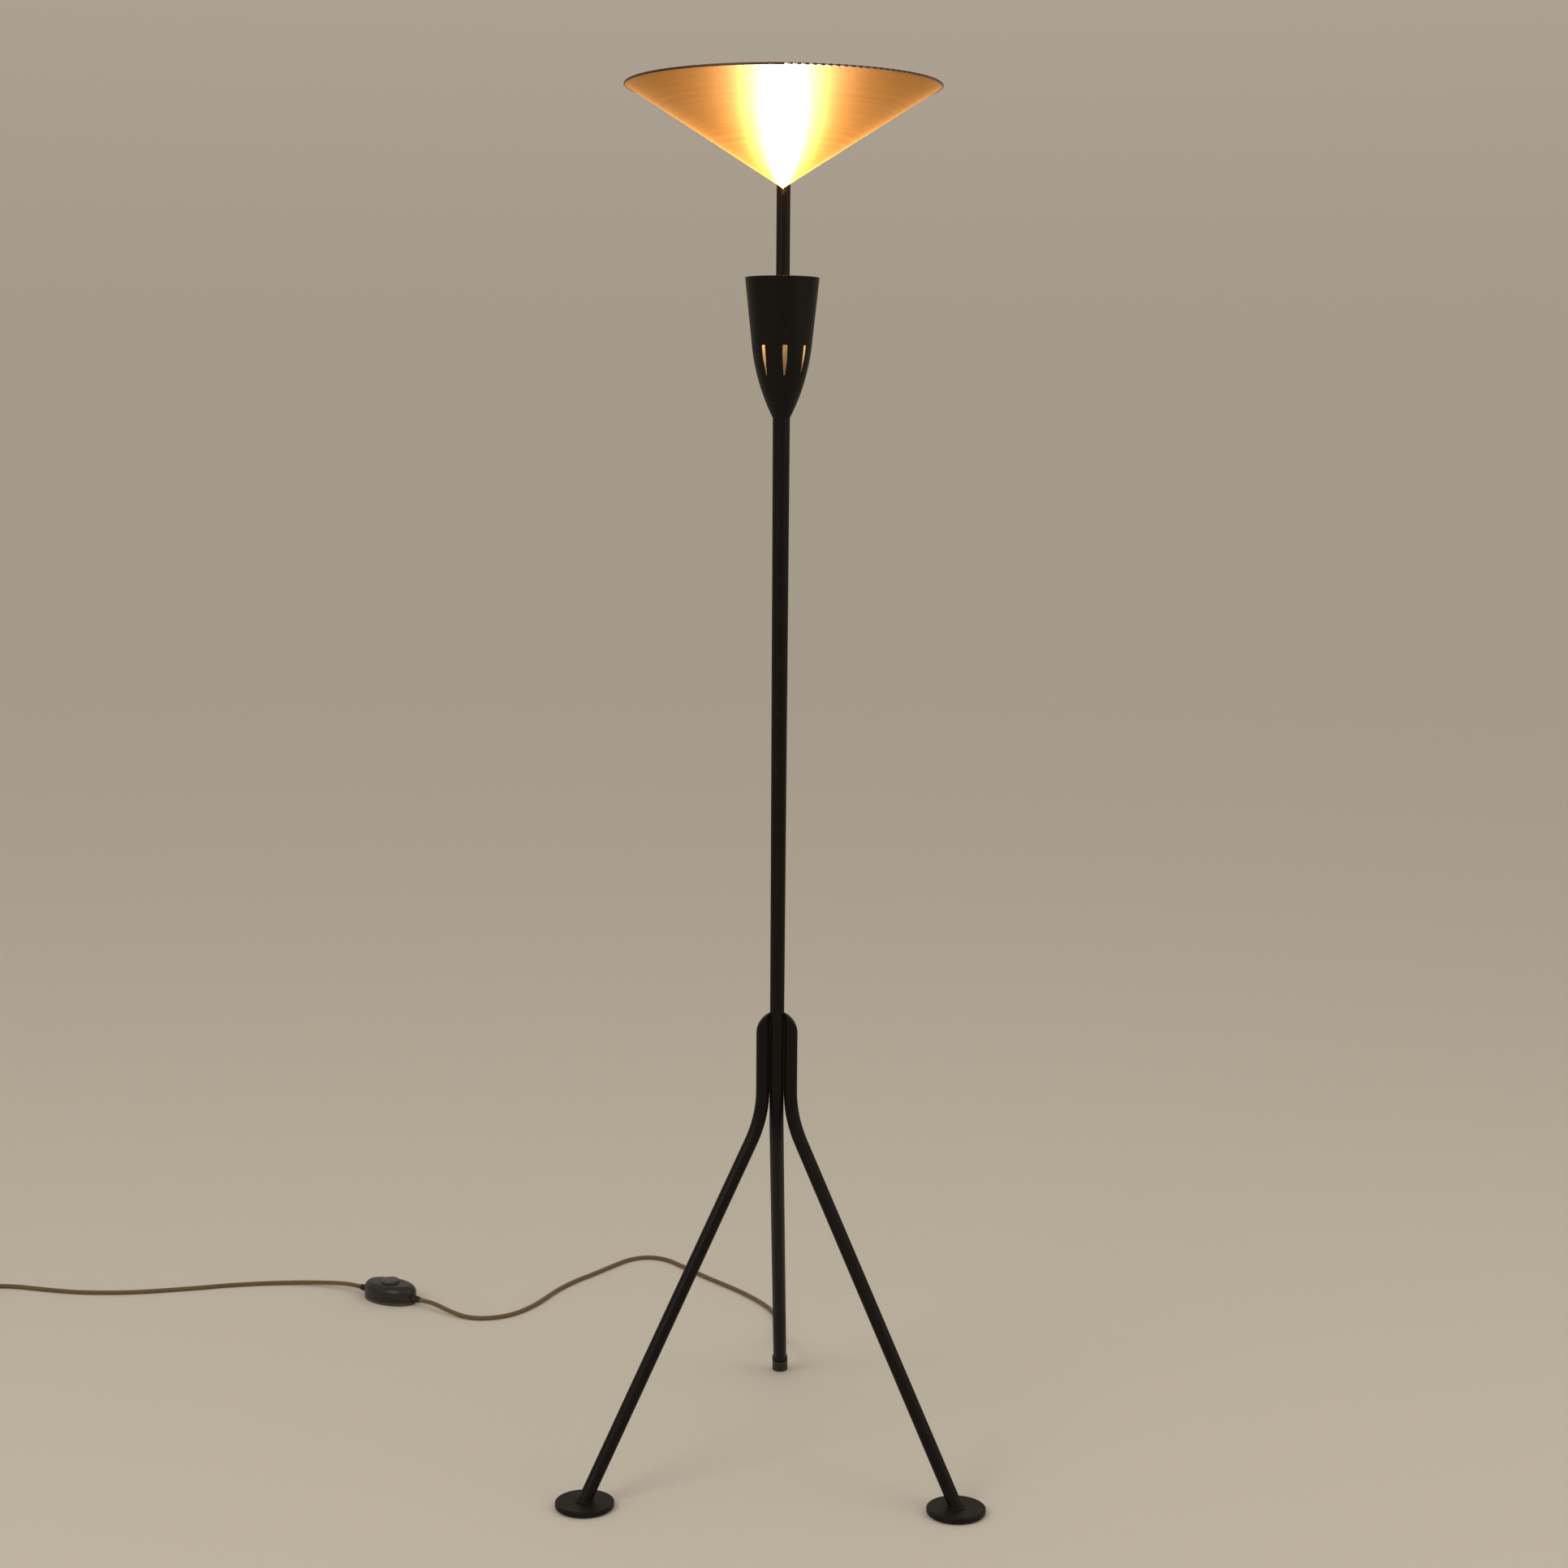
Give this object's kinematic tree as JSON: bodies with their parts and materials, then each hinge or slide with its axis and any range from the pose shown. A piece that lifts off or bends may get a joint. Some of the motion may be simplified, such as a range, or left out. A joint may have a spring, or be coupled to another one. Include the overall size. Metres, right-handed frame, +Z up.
{
  "type": "tripod floor lamp",
  "caption": "Tripod floor lamp with a slotted tulip lamp cup that lights a conical brass reflector, a tapered black pole, bent tube legs, disc feet, and a corded foot switch.",
  "frame": {"origin": "on the floor, under the middle of the box around the lamp without its lead", "axes": "+Z up along the pole, -Y to the front between the two disc feet, +X to the lamp's right as seen from the front"},
  "size_m": [1.472, 0.9467, 1.617],
  "materials": {
    "black_frame": "satin black paint",
    "black_foot": "satin black paint, slightly worn",
    "reflector_brass": "spun and brushed, lacquered",
    "black_fastener": "blackened",
    "plated_steel": "zinc plated",
    "contact_brass": "bright",
    "pin_nickel": "nickel plated",
    "ceramic_insert": "glazed",
    "bulb_glass": "frosted",
    "filament": "glowing",
    "black_rubber": "matt",
    "switch_plastic": "fine textured",
    "button_plastic": "satin dark grey",
    "spring_steel": "bright",
    "cord_fabric": "braided olive brown"
  },
  "bodies": {
    "lamp": {"bulb_cap": "contact_brass", "bulb_filaments": "filament", "bulb_glass": "bulb_glass", "bulb_mount": "bulb_glass", "button_spring": "spring_steel", "cable_cores": "contact_brass", "centre_contact": "contact_brass", "collar_welds": "black_frame", "cord_coil": "cord_fabric", "cord_gland": "black_rubber", "cord_to_coil": "cord_fabric", "cord_to_switch": "cord_fabric", "cup_boss": "plated_steel", "foot_disc_left": "black_foot", "foot_disc_right": "black_foot", "foot_pad_left": "black_rubber", "foot_pad_right": "black_rubber", "front_leg_left": "black_frame", "front_leg_right": "black_frame", "holder_cap": "ceramic_insert", "holder_insert": "ceramic_insert", "holder_sleeve": "ceramic_insert", "inner_cable": "cord_fabric", "lamp_cup": "black_frame", "nipple_locknut": "plated_steel", "nipple_washer": "plated_steel", "plug_body": "switch_plastic", "plug_boot": "black_rubber", "plug_pin_sleeves": "switch_plastic", "plug_pins": "pin_nickel", "pole": "black_frame", "rear_foot_cap": "black_rubber", "reflector_cone": "reflector_brass", "reflector_saddle": "black_fastener", "reflector_screw": "black_fastener", "screw_shell": "contact_brass", "stem_insert": "plated_steel", "stem_screws": "black_fastener", "stem_spacer": "plated_steel", "stem_top_plug": "plated_steel", "stem_tube": "black_frame", "switch_base": "button_plastic", "switch_cover": "switch_plastic", "switch_mechanism": "switch_plastic", "switch_screws": "plated_steel", "switch_strain_reliefs": "black_rubber", "switch_terminals": "contact_brass", "terminal_screws": "contact_brass", "threaded_nipple": "plated_steel"},
    "button": {"switch_button": "button_plastic"}
  },
  "joints": [
    {"name": "button_press", "type": "slide", "parent": "lamp", "child": "button", "axis": [0, 0, -1], "range_m": [0, 0.003], "stiffness_N_per_m": 700, "springref_m": -0.0015, "deforming": ["button_spring"]}
  ]
}
